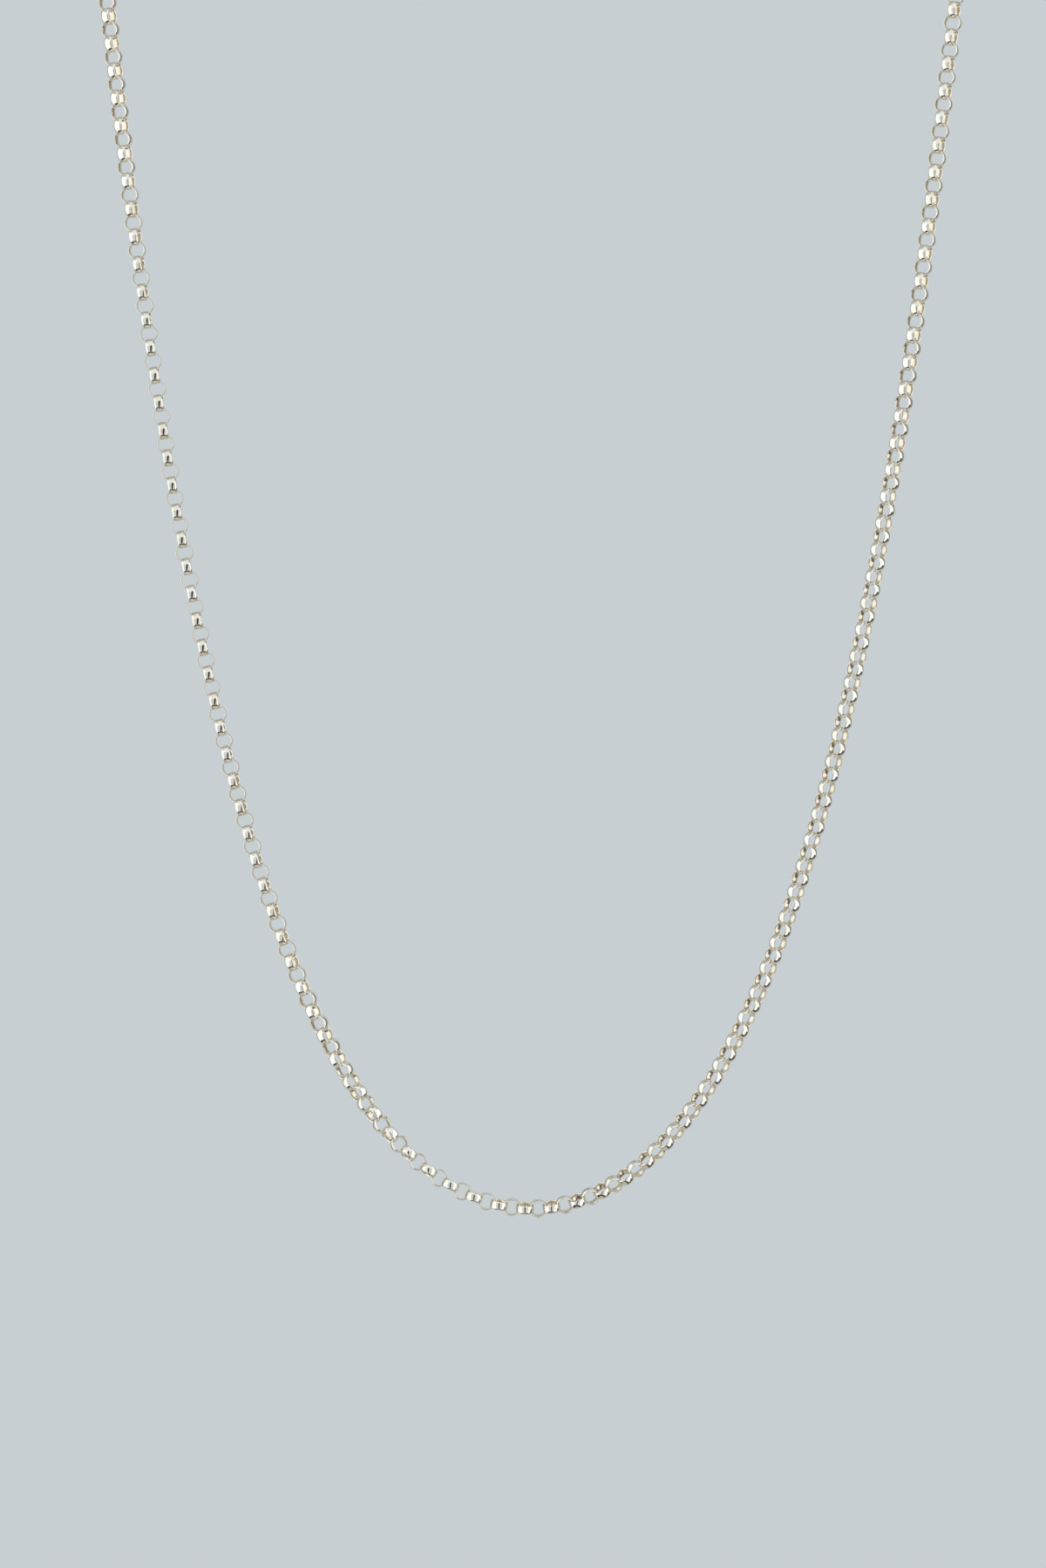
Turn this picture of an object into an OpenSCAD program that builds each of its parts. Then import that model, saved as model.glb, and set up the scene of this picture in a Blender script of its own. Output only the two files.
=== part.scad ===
// Rolo chain necklace on a spring ring clasp, hanging as it does when worn.
// Millimetres, +Z up, +Y towards the nape. The origin is where the loop rests on the nape.

/* [Link] */
// Outside diameter of a link
link_d = 2.12; // [2.12:0.01:2.14]
// Width of the band that a link is bent from
band_w = 0.92; // [0.88:0.01:0.93]
// How far the inside of the band swells from its edges to its middle
inner_rise = 0.12; // [0.11:0.005:0.13]
// How far the outside of the band swells from its edges to its middle
outer_rise = 0.05; // [0.04:0.005:0.055]
// Width of the flat middle of the band's inside
inner_flat = 0.2; // [0.1:0.05:0.3]
// Width of the flat middle of the band's outside
outer_flat = 0.5; // [0.3:0.05:0.6]
// Average distance between the centres of neighbouring links
pitch = 1.56; // [1.558:0.001:1.562]

/* [Loop] */
// Links on the left of the lowest point, and on the right too
side_links = 159; // [157:2:159]
// Distance along the chain from the link numbered 0 to the lowest point, in links
low_point = 0.62; // [0.55:0.01:0.65]
// Radius of the hanging curve at its lowest point
catenary_a = 16.64; // [16.6:0.02:16.8]
// Length that hangs freely on each side of the lowest point
hang_l = 157; // [157:0.1:158]
// Radius of the turn from each hanging strand to the back of the neck
shoulder_r = 14; // [14:0.1:15]
// Links modelled one by one on each side of the lowest point
front_links = 113; // [111:2:113]
// Links modelled one by one at each end, beside the clasp
end_links = 2; // [1:1:3]

/* [Clasp] */
// Radius to the middle of the clasp's round wire
clasp_r = 2.4; // [2.3:0.1:2.6]
// Thickness of the clasp's wire
clasp_wire = 1; // [0.9:0.05:1.1]
// Radius to the middle of the clasp's fixed eye
eye_r = 0.95; // [0.95:0.05:1.05]
// Radius to the middle of the jump ring at the clasp
clasp_ring_r = 1.25; // [1.25:0.05:1.35]
// Radius to the middle of the ring that the clasp hooks onto
end_ring_r = 1.5; // [1.5:0.05:1.6]
// Thickness of the rings' and the eye's wire
ring_wire = 0.5; // [0.45:0.01:0.5]
// Play between pieces that hook into each other
play = 0.14; // [0.12:0.01:0.16]

/* [Hidden] */
$fn = 48;

gold = [0.9, 0.84, 0.7];
tube_r = 1;
tube_sides = 8;
tube_rings = 16;

// Roll of the even links about the chain: 0 faces the viewer, and the odd links are a quarter turn on.
// Columns: distance from the lowest point, roll in degrees.
roll_rows = [
  [-254, 0], [-175, 30], [-137, 26], [-129, 16], [-120, 10], [-112, 2],
  [-75, 2], [-66, 10], [-50, 12], [-42, 17], [-36, 24], [-30, 36],
  [-25, 48], [-20, 62], [-15, 76], [-8, 88], [-2, 103], [4, 113],
  [10, 126], [18, 131], [90, 133], [100, 140], [112, 148], [130, 155],
  [155, 160], [254, 180]
];

// The links sit closer together low on the left strand and farther apart at its top.
// Columns: evenly spaced place along the chain from the lowest point, shift along the chain from there.
shift_rows = [
  [-254, 0], [-152, -0.2], [-140, -0.05], [-120, 0.53], [-106, 0.96], [-88, 1.2],
  [-60, 1.42], [-40, 1.42], [-28, 1.13], [-8, 0.48], [0, 0.22], [10, -0.02],
  [30, -0.18], [90, -0.43], [112, -0.45], [130, -0.3], [254, 0]
];

band_t = inner_rise + outer_rise;
link_in = link_d / 2 - band_t;
eye_in = eye_r - ring_wire / 2;
clasp_in = clasp_r - clasp_wire / 2;
clasp_ring_in = clasp_ring_r - ring_wire / 2;
end_ring_in = end_ring_r - ring_wire / 2;
eye_x = clasp_r + clasp_wire / 2 + eye_r;

// Distance between the centres of two hooked rings, from their inner radii
function hooked(r1, r2) = r1 + r2 - play;

// Distances between the pieces at the nape, from the left end link to the right one
run_1 = hooked(link_in, end_ring_in);
run_2 = hooked(end_ring_in, clasp_in);
run_3 = hooked(eye_in, clasp_ring_in);
run_4 = hooked(clasp_ring_in, link_in);
clasp_run = run_1 + run_2 + eye_x + run_3 + run_4;

// The hanging curve: its end, and the slope there
top_slope = hang_l / catenary_a;
top_x = catenary_a * ln(top_slope + sqrt(1 + top_slope * top_slope));
top_rise = catenary_a * (sqrt(1 + top_slope * top_slope) - 1);
top_dir = [1, 0, top_slope] / sqrt(1 + top_slope * top_slope);

// The straight stretch behind the neck is as long as it takes to close the loop
half_loop = (2 * side_links * pitch + clasp_run) / 2;
side_x = top_x + shoulder_r * top_dir.x;
quarter = PI / 2;
nape_half = (hang_l + quarter * (shoulder_r + side_x) - half_loop) / (quarter - 1);
back_r = side_x - nape_half;
front_y = -back_r - shoulder_r;
low_z = -top_rise - shoulder_r * top_dir.z;

// Ends of the shoulder turn and of the turn behind the neck, along the chain
shoulder_end = hang_l + quarter * shoulder_r;
back_end = shoulder_end + quarter * back_r;

// Route on the right half at length s from the lowest point: [point, direction, outward side]
function hanging(s) =
  let(m = s / catenary_a, w = sqrt(1 + m * m))
  [[catenary_a * ln(m + w), front_y, low_z + catenary_a * (w - 1)], [1, 0, m] / w, [0, -1, 0]];
function shoulder(s) =
  let(t = (s - hang_l) / shoulder_r * 180 / PI)
  [
    [top_x, front_y, low_z + top_rise] + shoulder_r * (sin(t) * top_dir + (1 - cos(t)) * [0, 1, 0]),
    cos(t) * top_dir + sin(t) * [0, 1, 0],
    [0, -cos(t), sin(t)]
  ];
function behind(s) =
  let(t = (s - shoulder_end) / back_r * 180 / PI)
  [
    [nape_half + back_r * cos(t), back_r * (sin(t) - 1), 0],
    [-sin(t), cos(t), 0],
    [0, 0, 1]
  ];
function nape(s) = [[nape_half + back_end - s, 0, 0], [-1, 0, 0], [0, 0, 1]];
function right_route(s) =
  s <= hang_l ? hanging(s) :
  s <= shoulder_end ? shoulder(s) :
  s <= back_end ? behind(s) : nape(s);

// The left half mirrors the right one and runs down towards the lowest point
function route(s) =
  let(r = right_route(abs(s)))
  s >= 0 ? r : [
    [-r[0].x, r[0].y, r[0].z],
    [r[1].x, -r[1].y, -r[1].z],
    [-r[2].x, r[2].y, r[2].z]
  ];

function unit(v) = v / norm(v);

// Square axes at s: the point, the direction, the outward side and the side across
function axes(s) =
  let(r = route(s), out = unit(r[2] - (r[2] * r[1]) * r[1]))
  [r[0], r[1], out, cross(out, r[1])];

function link_s(i) =
  let(s = (i - low_point) * pitch)
  s + lookup(s, shift_rows);

function link_axis(i, a) =
  let(roll = lookup(link_s(i), roll_rows) + (i % 2 == 0 ? 0 : -90))
  cos(roll) * a[2] - sin(roll) * a[3];

module place(point, x, z) {
  y = cross(z, x);
  multmatrix([
    [x.x, y.x, z.x, point.x],
    [x.y, y.y, z.y, point.y],
    [x.z, y.z, z.z, point.z]
  ]) children();
}

// Band turned about Z, thickest in the middle and thin at its edges
module band() {
  outside = link_d / 2;
  edge = link_in + inner_rise;
  rotate_extrude()
    polygon([
      [edge, -band_w / 2], [outside, -outer_flat / 2], [outside, outer_flat / 2],
      [edge, band_w / 2], [link_in, inner_flat / 2], [link_in, -inner_flat / 2]
    ]);
}

module link(i) {
  a = axes(link_s(i));
  place(a[0], a[1], link_axis(i, a)) band();
}

module links(first, last) {
  for (i = [first:last]) link(i);
}

// Plain tube from s1 to s2 in place of the links there
module tube(s1, s2) {
  rings = [for (k = [0:tube_rings - 1]) axes(s1 + (s2 - s1) * k / (tube_rings - 1))];
  corners = [for (a = rings) for (j = [0:tube_sides - 1])
    let(t = (j + 0.5) * 360 / tube_sides)
    a[0] + tube_r * (cos(t) * a[2] + sin(t) * a[3])];
  start_cap = [for (j = [0:tube_sides - 1]) tube_sides - 1 - j];
  end_cap = [for (j = [0:tube_sides - 1]) (tube_rings - 1) * tube_sides + j];
  walls = [for (k = [0:tube_rings - 2]) for (j = [0:tube_sides - 1])
    let(n = (j + 1) % tube_sides, low = k * tube_sides, high = low + tube_sides)
    [low + j, low + n, high + n, high + j]];
  polyhedron(points = corners, faces = concat([start_cap, end_cap], walls));
}

// Wire ring about Z
module wire_ring(r, wire) {
  rotate_extrude() translate([r, 0]) circle(d = wire);
}

// The hanging links, a plain tube in place of the hidden ones, and the last links beside the clasp
module chain_left() {
  first = -side_links + end_links;
  color(gold) {
    links(-front_links, 0);
    tube(link_s(first - 1) + link_d / 2 + play, link_s(-front_links) - link_d / 2 - play);
    links(-side_links, first - 1);
  }
}

module chain_right() {
  last = side_links - end_links;
  color(gold) {
    links(1, front_links);
    tube(link_s(front_links) + link_d / 2 + play, link_s(last + 1) - link_d / 2 - play);
    links(last + 1, side_links);
  }
}

left_end_x = route(link_s(-side_links))[0].x;
end_ring_x = left_end_x + run_1;
clasp_x = end_ring_x + run_2;
clasp_ring_x = clasp_x + eye_x + run_3;

// The ring at the left end lies level, as the clasp stands upright
module end_ring() {
  color(gold) translate([end_ring_x, 0, 0]) wire_ring(end_ring_r, ring_wire);
}

module clasp() {
  color(gold) translate([clasp_x, 0, 0]) rotate([90, 0, 0]) {
    wire_ring(clasp_r, clasp_wire);
    translate([eye_x, 0, 0]) wire_ring(eye_r, ring_wire);
  }
}

module clasp_ring() {
  color(gold) translate([clasp_ring_x, 0, 0]) wire_ring(clasp_ring_r, ring_wire);
}

chain_left();
chain_right();
clasp();
clasp_ring();
end_ring();
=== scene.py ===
import bpy
import numpy as np
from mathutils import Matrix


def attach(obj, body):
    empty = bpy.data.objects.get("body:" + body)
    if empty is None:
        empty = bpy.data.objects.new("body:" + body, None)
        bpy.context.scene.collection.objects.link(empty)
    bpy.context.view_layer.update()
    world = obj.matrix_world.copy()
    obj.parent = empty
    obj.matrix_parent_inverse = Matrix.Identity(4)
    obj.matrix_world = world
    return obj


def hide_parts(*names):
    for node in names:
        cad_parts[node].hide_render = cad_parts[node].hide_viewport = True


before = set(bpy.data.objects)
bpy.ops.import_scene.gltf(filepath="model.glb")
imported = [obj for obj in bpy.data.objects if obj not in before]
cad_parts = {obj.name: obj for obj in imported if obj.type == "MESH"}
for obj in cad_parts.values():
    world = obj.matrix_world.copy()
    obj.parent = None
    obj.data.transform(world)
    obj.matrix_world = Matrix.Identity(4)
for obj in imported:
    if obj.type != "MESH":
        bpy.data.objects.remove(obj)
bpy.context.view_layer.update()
mm = 0.001
print("frame loaded:", len(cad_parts), "nodes")

# The loop, in the frame's own numbers
loop = {
    "catenary": 16.64 * mm,  # radius at the lowest point
    "hang": 157 * mm,  # length that hangs on each side of the lowest point
    "shoulder": 14 * mm,  # radius of the turn to the back of the neck
    "pitch": 1.56 * mm,  # average distance between neighbouring links
    "sideLinks": 159,  # links on each side of the lowest point
    "lowPoint": 0.62,  # links between the link numbered 0 and the lowest point
    "claspRun": 12.17 * mm,  # from the last link on the left to the last on the right
    # Distance from the lowest point in mm, and roll of the even links there in degrees
    "roll": [
        [-254, 0], [-175, 30], [-137, 26], [-129, 16], [-120, 10], [-112, 2],
        [-75, 2], [-66, 10], [-50, 12], [-42, 17], [-36, 24], [-30, 36],
        [-25, 48], [-20, 62], [-15, 76], [-8, 88], [-2, 103], [4, 113],
        [10, 126], [18, 131], [90, 133], [100, 140], [112, 148], [130, 155],
        [155, 160], [254, 180],
    ],
    # Evenly spaced place along the chain from the lowest point in mm, and how far the link sits from it
    "shift": [
        [-254, 0], [-152, -0.2], [-140, -0.05], [-120, 0.53], [-106, 0.96], [-88, 1.2],
        [-60, 1.42], [-40, 1.42], [-28, 1.13], [-8, 0.48], [0, 0.22], [10, -0.02],
        [30, -0.18], [90, -0.43], [112, -0.45], [130, -0.3], [254, 0],
    ],
}


# Sizes of the loop that follow from its length: the quarter circles' radius and the shoulders' place
def loopSizes():
    slope = loop["hang"] / loop["catenary"]
    steep = np.sqrt(1 + slope**2)
    topX = loop["catenary"] * np.arcsinh(slope)
    topRise = loop["catenary"] * (steep - 1)
    topWay = np.array([1, 0, slope]) / steep
    halfLoop = (2 * loop["sideLinks"] * loop["pitch"] + loop["claspRun"]) / 2
    sideX = topX + loop["shoulder"] * topWay[0]
    quarter = np.pi / 2
    napeHalf = (loop["hang"] + quarter * (loop["shoulder"] + sideX) - halfLoop) / (quarter - 1)
    backRadius = sideX - napeHalf
    return {
        "topX": topX,
        "topRise": topRise,
        "topWay": topWay,
        "napeHalf": napeHalf,
        "backRadius": backRadius,
        "frontY": -backRadius - loop["shoulder"],
        "lowZ": -topRise - loop["shoulder"] * topWay[2],
        "shoulderEnd": loop["hang"] + quarter * loop["shoulder"],
        "backEnd": loop["hang"] + quarter * (loop["shoulder"] + backRadius),
    }


size = loopSizes()


# Length along the chain from the lowest point to the links of those numbers, shifted as the table says
def linkPlaces(number):
    s = (number - loop["lowPoint"]) * loop["pitch"]
    shift = np.array(loop["shift"], float) * mm
    return s + np.interp(s, shift[:, 0], shift[:, 1])


# Where the loop is at length s from its lowest point: x = a·asinh(s/a), z = a·(sqrt(1 + (s/a)²) − 1)
# on the strands, a quarter turn at each shoulder, a quarter circle behind it and the straight nape.
# The left half mirrors the right one. Gives the point, the way along, outwards and across.
def loopAt(s):
    side = np.where(s < 0, -1.0, 1.0)[:, None]
    d = np.abs(s)[:, None]
    a = loop["catenary"]
    m = d / a
    steep = np.sqrt(1 + m**2)
    still = 0 * d
    point = np.hstack([a * np.arcsinh(m), size["frontY"] + still, size["lowZ"] + a * (steep - 1)])
    along = np.hstack([1 / steep, still, m / steep])
    out = np.hstack([still, still - 1, still])

    t = (d - loop["hang"]) / loop["shoulder"]
    top = np.array([size["topX"], size["frontY"], size["lowZ"] + size["topRise"]])
    back = np.array([0.0, 1.0, 0.0])
    here = top + loop["shoulder"] * (np.sin(t) * size["topWay"] + (1 - np.cos(t)) * back)
    way = np.cos(t) * size["topWay"] + np.sin(t) * back
    past = d > loop["hang"]
    point = np.where(past, here, point)
    along = np.where(past, way, along)
    out = np.where(past, np.hstack([still, -np.cos(t), np.sin(t)]), out)

    t = (d - size["shoulderEnd"]) / size["backRadius"]
    r = size["backRadius"]
    past = d > size["shoulderEnd"]
    point = np.where(past, np.hstack([size["napeHalf"] + r * np.cos(t), r * (np.sin(t) - 1), still]), point)
    along = np.where(past, np.hstack([-np.sin(t), np.cos(t), still]), along)
    out = np.where(past, np.array([0.0, 0.0, 1.0]), out)

    past = d > size["backEnd"]
    point = np.where(past, np.hstack([size["napeHalf"] + size["backEnd"] - d, still, still]), point)
    along = np.where(past, np.array([-1.0, 0.0, 0.0]), along)

    point[:, 0] *= side[:, 0]
    out[:, 0] *= side[:, 0]
    along[:, 1:] *= side
    out -= np.sum(out * along, axis=1, keepdims=True) * along
    out /= np.linalg.norm(out, axis=1, keepdims=True)
    return point, along, out, np.cross(out, along)


# A material's nodes. A reading is a socket in shader maths, and an expression on it adds Math nodes.
class Reading:
    def __init__(self, finish, socket):
        self.finish = finish
        self.socket = socket

    def maths(self, operation, first, second):
        node = self.finish.add("ShaderNodeMath", {"operation": operation}, {0: first, 1: second})
        return node.out(0)

    def __add__(self, other):
        return self.maths("ADD", self, other)

    def __sub__(self, other):
        return self.maths("SUBTRACT", self, other)

    def __mul__(self, other):
        return self.maths("MULTIPLY", self, other)

    def __rsub__(self, other):
        return self.maths("SUBTRACT", other, self)

    __radd__ = __add__
    __rmul__ = __mul__

    # 0 up to low, 1 from high and smooth between
    def between(self, low, high):
        ramp = {"interpolation_type": "SMOOTHSTEP"}
        return self.finish.add("ShaderNodeMapRange", ramp, {"Value": self, 1: low, 2: high}).out(0)


class Placed:
    def __init__(self, finish, node):
        self.finish = finish
        self.node = node

    def out(self, key):
        return Reading(self.finish, self.node.outputs[key])


class Finish:
    def __init__(self, name):
        self.material = bpy.data.materials.new(name)
        self.material.use_nodes = True
        self.tree = self.material.node_tree
        self.tree.nodes.clear()

    # A node of that type, its settings first and then the values or readings of its sockets
    def add(self, kind, settings=None, sockets=None):
        node = self.tree.nodes.new(kind)
        for name, value in (settings or {}).items():
            setattr(node, name, value)
        for key, value in (sockets or {}).items():
            if isinstance(value, Reading):
                self.tree.links.new(value.socket, node.inputs[key])
            else:
                node.inputs[key].default_value = value
        return Placed(self, node)

    # From the first colour to the second as the share goes from 0 to 1
    def blend(self, share, first, second):
        colours = {0: share, 6: first, 7: second}
        return self.add("ShaderNodeMix", {"data_type": "RGBA"}, colours).out(2)


gold = {
    "pale": (0.94, 0.91, 0.84, 1),  # the palest links
    "warm": (0.91, 0.86, 0.75, 1),  # the warmest ones
    "paintedWarmth": (0.80, 0.64, 0.36, 1),  # painted warm reflection of neighbouring links on the inside of each link
    "paintedWarmthLeast": 0.12,  # its share where the painted reflection is weakest
    "paintedWarmthMore": 0.3,  # what its clouds add to that share
    "clouds": 900.0,  # clouds of it in a metre
    "paintedShade": (0.22, 0.15, 0.07, 1),  # painted shade between the links: dark streaks across their insides
    "paintedShadeShare": 0.5,  # their share where they are darkest
    "streaks": (70, 2, 1),  # streaks round a link, and patches across its band
    "gloss": 0.06,  # roughness of a polished crown
    "dull": 0.16,  # roughness inside the links
    "lines": (12, 300, 1),  # lengths of the fine lines round a link, and lines across its band
    "lineRough": 0.04,  # roughness that they add
    "lineDepth": 0.0000012,  # their depth in metres
    "lineStrength": 0.3,
}


# Polished pale gold: fine lines round each band, a duller inside with a painted warm reflection and streaks
# of painted shade, and tone from link to link
def goldFinish(name):
    finish = Finish(name)
    place = finish.add("ShaderNodeTexCoord").out("Object")
    tone = finish.add("ShaderNodeAttribute", {"attribute_name": "tone"}).out("Fac")
    inside = finish.add("ShaderNodeAttribute", {"attribute_name": "inside"}).out("Fac")
    band = finish.add("ShaderNodeUVMap", {"uv_map": "band"}).out(0)

    drawn = finish.add("ShaderNodeMapping", {}, {"Vector": band, "Scale": gold["lines"]}).out(0)
    lines = finish.add("ShaderNodeTexNoise", {}, {"Vector": drawn, "Scale": 1.0, "Detail": 3.0}).out(0)
    cloudy = {"Vector": place, "Scale": gold["clouds"], "Detail": 3.0}
    clouds = finish.add("ShaderNodeTexNoise", {}, cloudy).out(0)
    # Painted warm reflection of neighbouring links, on the inside of the links only, in clouds
    paintedWarmth = inside * (gold["paintedWarmthLeast"] + clouds.between(0.35, 0.65) * gold["paintedWarmthMore"])
    across = finish.add("ShaderNodeMapping", {}, {"Vector": band, "Scale": gold["streaks"]}).out(0)
    streaks = finish.add("ShaderNodeTexNoise", {}, {"Vector": across, "Scale": 1.0, "Detail": 2.0}).out(0)
    # Painted shade between the links: dark streaks on the inside of each link
    paintedShade = inside * streaks.between(0.52, 0.7) * gold["paintedShadeShare"]

    shade = finish.blend(tone, gold["pale"], gold["warm"])
    # Mixes in the painted warm reflection
    shade = finish.blend(paintedWarmth, shade, gold["paintedWarmth"])
    # Darkens by the painted shade
    shade = finish.blend(paintedShade, shade, gold["paintedShade"])
    rough = gold["gloss"] + inside * (gold["dull"] - gold["gloss"])
    rough = rough + lines.between(0.5, 0.75) * gold["lineRough"]
    relief = {"Height": lines, "Distance": gold["lineDepth"], "Strength": gold["lineStrength"]}
    dents = finish.add("ShaderNodeBump", {}, relief).out(0)
    shader = finish.add(
        "ShaderNodeBsdfPrincipled",
        {},
        {"Base Color": shade, "Roughness": rough, "Normal": dents, "Metallic": 1.0},
    ).out(0)
    finish.add("ShaderNodeOutputMaterial", {}, {"Surface": shader})
    return finish.material


# A piece from its grids of points and their quads, with the band map and the two values its finish reads:
# tone from 0 pale to 1 warm, and 1 on the inside of a link
def meshFrom(name, points, faces, bandMap, tone, inside, material):
    mesh = bpy.data.meshes.new(name)
    mesh.from_pydata(points.reshape(-1, 3), [], faces.reshape(-1, 4))
    mesh.polygons.foreach_set("use_smooth", np.ones(len(mesh.polygons), bool))
    layer = mesh.uv_layers.new(name="band")
    layer.uv.foreach_set("vector", bandMap.astype(np.float32).ravel())
    for label, values in {"tone": tone, "inside": inside}.items():
        attribute = mesh.attributes.new(label, "FLOAT", "POINT")
        attribute.data.foreach_set("value", values.astype(np.float32).ravel())
    mesh.materials.append(material)
    mesh.validate()
    piece = bpy.data.objects.new(name, mesh)
    bpy.context.scene.collection.objects.link(piece)
    return piece


def smoothed(piece, levels):
    modifier = piece.modifiers.new("smooth", "SUBSURF")
    modifier.levels = levels
    modifier.render_levels = levels


# Quads of a closed grid of rows by columns for each of count pieces, with both ways wrapped round
def closedFaces(count, rows, columns):
    i, j = np.meshgrid(np.arange(rows), np.arange(columns), indexing="ij")
    nextRow = (i + 1) % rows
    nextColumn = (j + 1) % columns
    corners = [
        i * columns + j, nextRow * columns + j, nextRow * columns + nextColumn, i * columns + nextColumn
    ]
    one = np.stack(corners, axis=-1)
    return np.arange(count)[:, None, None, None] * rows * columns + one


# The band map of those quads: how far round the ring, and how far round the section, both from 0 to 1
def closedMap(count, rows, columns):
    i, j = np.meshgrid(np.arange(rows), np.arange(columns), indexing="ij")
    corners = np.stack(
        [
            np.stack([i / rows, j / columns], axis=-1),
            np.stack([(i + 1) / rows, j / columns], axis=-1),
            np.stack([(i + 1) / rows, (j + 1) / columns], axis=-1),
            np.stack([i / rows, (j + 1) / columns], axis=-1),
        ],
        axis=2,
    )
    return np.broadcast_to(corners, (count,) + corners.shape)


link = {
    "diameter": 2.1 * mm,
    "width": 0.95 * mm,
    "thickness": 0.2 * mm,
    "steps": 10,  # cage points round the link
    # Cage points of the section: part of the half width, part of the half thickness outwards
    "section": [[0, 1.1], [1.05, 0.15], [0.7, -0.85], [0, -0.95], [-0.7, -0.85], [-1.05, 0.15]],
    "slip": 0.01 * mm,  # how far a link lies out of its place
    "turn": 2.0,  # how far it turns out of its roll, in degrees
    "tilt": 1.5,  # how far its axis leans along the chain, in degrees
    "seed": 7,
    "smoothing": 1,  # subdivision levels
}


# A smoothed ring of n points shrinks to (2 + cos(360°/n)) / 3 of its size, so a cage is made larger by that
def smoothShrink(n):
    return (2 + np.cos(2 * np.pi / n)) / 3


# Links numbered first to last: each is a section carried round a circle about the link's own axis
def chainPiece(name, first, last, material):
    number = np.arange(first, last + 1)
    chance = np.random.default_rng(link["seed"] + loop["sideLinks"] + first)
    slip = chance.uniform(-1, 1, len(number)) * link["slip"]
    turn = chance.uniform(-1, 1, len(number)) * link["turn"]
    tilt = np.radians(chance.uniform(-1, 1, len(number)) * link["tilt"])[:, None]
    tone = chance.uniform(0, 1, len(number))
    start = chance.uniform(0, 2 * np.pi, len(number))

    s = linkPlaces(number)
    table = np.array(loop["roll"], float)
    roll = np.radians(np.interp(s / mm, table[:, 0], table[:, 1]) + turn - 90 * (number % 2))[:, None]
    point, along, out, across = loopAt(s + slip)
    axis = np.cos(roll) * out - np.sin(roll) * across
    axis, along = np.cos(tilt) * axis + np.sin(tilt) * along, np.cos(tilt) * along - np.sin(tilt) * axis
    aside = np.cross(axis, along)

    steps = link["steps"]
    section = np.array(link["section"])
    columns = len(section)
    height = section[:, 1] * link["thickness"] / 2 / smoothShrink(columns)
    middle = (link["diameter"] - link["thickness"]) / 2
    radius = (middle + height) / smoothShrink(steps)
    wide = section[:, 0] * link["width"] / 2 / smoothShrink(columns)
    angle = start[:, None] + np.arange(steps) * 2 * np.pi / steps
    ray = np.cos(angle)[:, :, None] * along[:, None] + np.sin(angle)[:, :, None] * aside[:, None]
    points = (
        point[:, None, None]
        + radius[None, None, :, None] * ray[:, :, None]
        + wide[None, None, :, None] * axis[:, None, None]
    )
    shape = (len(number), steps, columns)
    piece = meshFrom(
        name,
        points,
        closedFaces(*shape),
        closedMap(*shape),
        np.broadcast_to(tone[:, None, None], shape),
        np.broadcast_to(section[:, 1] < 0, shape),
        material,
    )
    smoothed(piece, link["smoothing"])
    return piece


chainGold = goldFinish("chainGold")
halves = {
    "chainLeft": ("chain_left", -loop["sideLinks"], 0),
    "chainRight": ("chain_right", 1, loop["sideLinks"]),
}
for name, (node, first, last) in halves.items():
    piece = chainPiece(name, first, last, chainGold)
    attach(piece, "root")
    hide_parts(node)
    print(name, "made:", last - first + 1, "links")

clasp = {
    "endRun": 2.0 * mm,  # from the last link on the left to the end ring
    "hookRun": 3.01 * mm,  # from there to the clasp
    "eyeRun": 3.85 * mm,  # from the clasp's middle to its eye's
    "jumpRun": 1.56 * mm,  # from there to the jump ring
    "endRing": 1.5 * mm,  # radii to the middle of the wires
    "ring": 2.4 * mm,
    "eye": 0.95 * mm,
    "jumpRing": 1.25 * mm,
    "thick": 1.0 * mm,  # the spring ring's wire
    "thin": 0.5 * mm,  # the eye's and the other rings' wire
    "rows": 96,  # points round a ring
    "columns": 24,  # points round its wire
}


# Round wire rings, each as x of its middle, radius, thickness and whether it stands upright: a circle
# of the wire's thickness, turned about the ring's own axis
def wirePiece(name, node, rings, material):
    a = np.linspace(0, 2 * np.pi, clasp["rows"], endpoint=False)[:, None]
    b = np.linspace(0, 2 * np.pi, clasp["columns"], endpoint=False)[None, :]
    shapes = []
    for x, radius, thick, upright in rings:
        reach = radius + thick / 2 * np.cos(b)
        side = thick / 2 * np.sin(b) + 0 * a
        if upright:
            shapes.append(np.stack([x + reach * np.cos(a), -side, reach * np.sin(a)], axis=-1))
        else:
            shapes.append(np.stack([x + reach * np.cos(a), reach * np.sin(a), side], axis=-1))
    shape = (len(rings), clasp["rows"], clasp["columns"])
    plain = np.zeros(shape)
    piece = meshFrom(
        name, np.array(shapes), closedFaces(*shape), closedMap(*shape), plain + 0.5, plain, material
    )
    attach(piece, "root")
    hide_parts(node)
    print(name, "made:", len(rings), "wire rings")


def claspPieces():
    lastLink = linkPlaces(-loop["sideLinks"])
    endX = loopAt(np.array([lastLink]))[0][0, 0] + clasp["endRun"]
    claspX = endX + clasp["hookRun"]
    eyeX = claspX + clasp["eyeRun"]
    claspGold = goldFinish("claspGold")
    wirePiece("endRing", "end_ring", [[endX, clasp["endRing"], clasp["thin"], False]], claspGold)
    claspRings = [[claspX, clasp["ring"], clasp["thick"], True], [eyeX, clasp["eye"], clasp["thin"], True]]
    wirePiece("springRing", "clasp", claspRings, claspGold)
    jumpRing = [eyeX + clasp["jumpRun"], clasp["jumpRing"], clasp["thin"], False]
    wirePiece("jumpRing", "clasp_ring", [jumpRing], claspGold)


claspPieces()

# The camera looks level along +Y at the chain's front, 120 mm wide at the chain
camera = {
    "across": -0.95 * mm,  # middle of the picture from the loop's own middle
    "height": -106.49 * mm,
    "distance": 1000 * mm,
    "pictureHeight": 179.9 * mm,  # what the picture's long side covers at the chain
    "sensor": 36,
}


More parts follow.
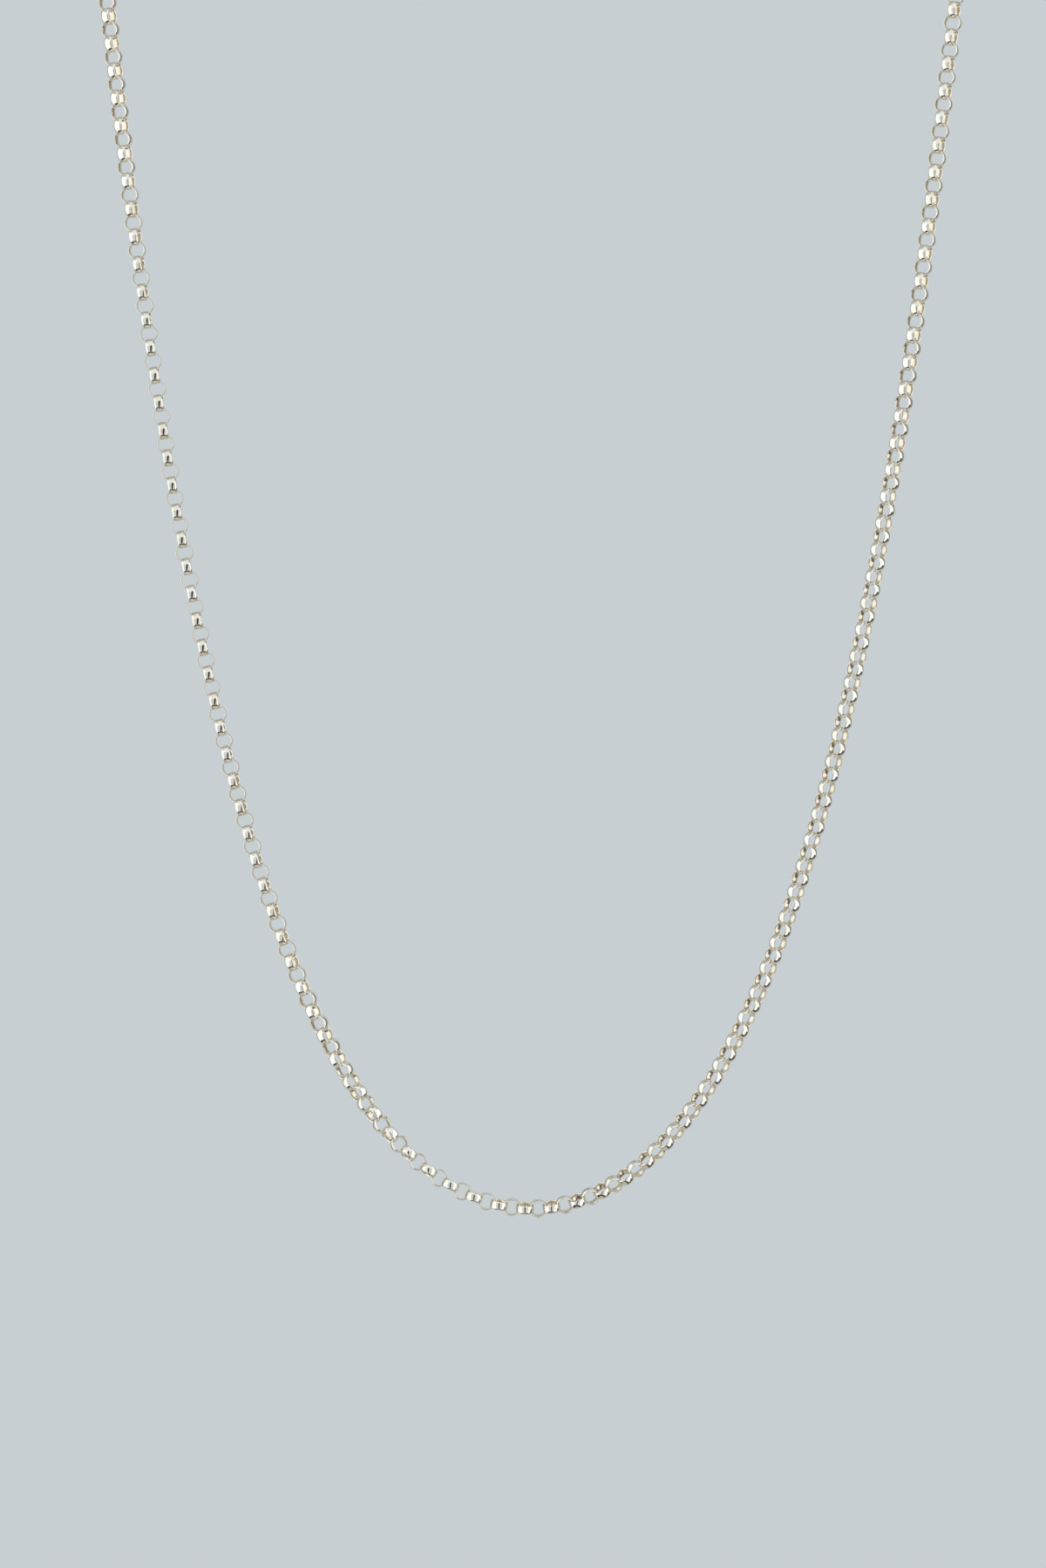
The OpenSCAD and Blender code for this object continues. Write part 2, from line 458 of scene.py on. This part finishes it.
def placeCamera():
    data = bpy.data.cameras.new("camera")
    data.sensor_width = camera["sensor"]
    data.lens = camera["sensor"] * camera["distance"] / camera["pictureHeight"]
    data.clip_start = 0.01
    data.clip_end = 20
    view = bpy.data.objects.new("camera", data)
    view.location = (camera["across"], size["frontY"] - camera["distance"], camera["height"])
    view.rotation_euler = (np.pi / 2, 0, 0)
    bpy.context.scene.collection.objects.link(view)
    bpy.context.scene.camera = view


placeCamera()
print("camera placed")

# Studio: a pale paper sweep behind, and a tent round the chain that shows in reflections alone
studio = {
    "aim": (0, size["frontY"], camera["height"]),
    "paper": (0.578, 0.624, 0.645),
    "paperRadius": 5.0,
    "floor": -1.2,
    "bend": 1.0,  # radius from the floor up into the wall
    "around": 64,  # points round the paper
    "tentRadius": 0.9,
    "tentGrid": [240, 120],  # points round the tent, and from its foot to its top
    "cloth": (0.52, 0.55, 0.56),
    "softness": 8,  # degrees over which each patch of the tent fades
    # Patches of the tent, each painted over those before it: from and to in degrees sideways from the
    # camera, from and to in height, colour
    "patches": [
        [-200, -125, 42, 100, (0.40, 0.38, 0.33)],  # warm room behind on the left
        [-65, 65, 20, 100, (0.84, 0.88, 0.90)],  # light overhead
        [-65, 65, -55, 20, (0.66, 0.69, 0.70)],  # cloth beside the camera
        [-108, -38, -52, 45, (1.12, 1.16, 1.19)],  # left lamp
        [42, 102, -52, 48, (1.12, 1.16, 1.19)],  # right lamp
        [104, 136, -30, 50, (0.28, 0.26, 0.22)],  # dim corner behind the right lamp
        [-146, -126, -30, 50, (0.36, 0.34, 0.29)],  # dim corner behind the left lamp
        [-200, 200, -100, -60, (0.50, 0.48, 0.43)],  # floor
        [-125, 125, -70, -54, (0.05, 0.042, 0.03)],  # dark edge of the table
        [84, 118, -56, -14, (0.12, 0.105, 0.085)],  # dark stand low on the right
        [-8, 8, -52, 30, (0.02, 0.017, 0.013)],  # slit for the camera
    ],
}


def staged(name, points, faces, material):
    mesh = bpy.data.meshes.new(name)
    mesh.from_pydata(points.reshape(-1, 3), [], faces.reshape(-1, 4))
    mesh.polygons.foreach_set("use_smooth", np.ones(len(mesh.polygons), bool))
    mesh.materials.append(material)
    item = bpy.data.objects.new(name, mesh)
    bpy.context.scene.collection.objects.link(item)
    return item


def glow(name):
    finish = Finish(name)
    colour = finish.add("ShaderNodeAttribute", {"attribute_name": "glow"}).out("Color")
    shader = finish.add("ShaderNodeEmission", {}, {"Color": colour}).out(0)
    finish.add("ShaderNodeOutputMaterial", {}, {"Surface": shader})
    return finish.material


def paintGlow(item, colours):
    rows = np.concatenate([colours, np.ones(colours.shape[:-1] + (1,))], axis=-1)
    layer = item.data.color_attributes.new("glow", "FLOAT_COLOR", "POINT")
    layer.data.foreach_set("color", rows.astype(np.float32).ravel())


# A round floor that bends up into a wall and closes overhead: a profile turned about Z, facing inwards
def sweep():
    r, bend, floor = studio["paperRadius"], studio["bend"], studio["floor"]
    turn = np.linspace(0, np.pi / 2, 9)
    corner = np.stack([r - bend + bend * np.sin(turn), floor + bend * (1 - np.cos(turn))], axis=-1)
    dome = np.stack([r * np.cos(turn), r * np.sin(turn)], axis=-1)
    profile = np.vstack([[[0.001, floor], [r / 2, floor]], corner, dome])
    around = studio["around"]
    angle = np.linspace(0, 2 * np.pi, around, endpoint=False)
    points = np.stack(
        [
            np.outer(np.cos(angle), profile[:, 0]),
            np.outer(np.sin(angle), profile[:, 0]),
            np.outer(np.ones(around), profile[:, 1]),
        ],
        axis=-1,
    )
    faces = closedFaces(1, around, len(profile))[0][:, :-1][..., ::-1]
    item = staged("sweep", points, faces, glow("paper"))
    paintGlow(item, np.broadcast_to(studio["paper"], points.shape))


sweep()


# 1 between low and high, 0 outside and smooth over the softness
def within(value, low, high):
    t = np.clip(np.minimum(value - low, high - value) / studio["softness"] + 0.5, 0, 1)
    return t * t * (3 - 2 * t)


# A globe round the chain, coloured by the angle sideways from the camera and by the height
def tent():
    columns, rows = studio["tentGrid"]
    sideways = np.linspace(-180, 180, columns, endpoint=False)
    height = np.linspace(-89.9, 89.9, rows)
    ray = np.stack(
        [
            np.outer(np.sin(np.radians(sideways)), np.cos(np.radians(height))),
            np.outer(-np.cos(np.radians(sideways)), np.cos(np.radians(height))),
            np.outer(np.ones(columns), np.sin(np.radians(height))),
        ],
        axis=-1,
    )
    points = np.array(studio["aim"]) + studio["tentRadius"] * ray
    colour = np.broadcast_to(studio["cloth"], ray.shape)
    for left, right, foot, top, paint in studio["patches"]:
        weight = np.outer(within(sideways, left, right), within(height, foot, top))[..., None]
        colour = colour + weight * (np.array(paint) - colour)
    item = staged("tent", points, closedFaces(1, columns, rows)[0][:, :-1], glow("tent"))
    paintGlow(item, colour)
    item.visible_camera = False
    item.visible_diffuse = False
    item.visible_shadow = False


tent()
print("studio made")

world = bpy.data.worlds.new("room")
world.use_nodes = True
world.node_tree.nodes["Background"].inputs["Strength"].default_value = 0
bpy.context.scene.world = world
bpy.context.scene.view_settings.view_transform = "Standard"
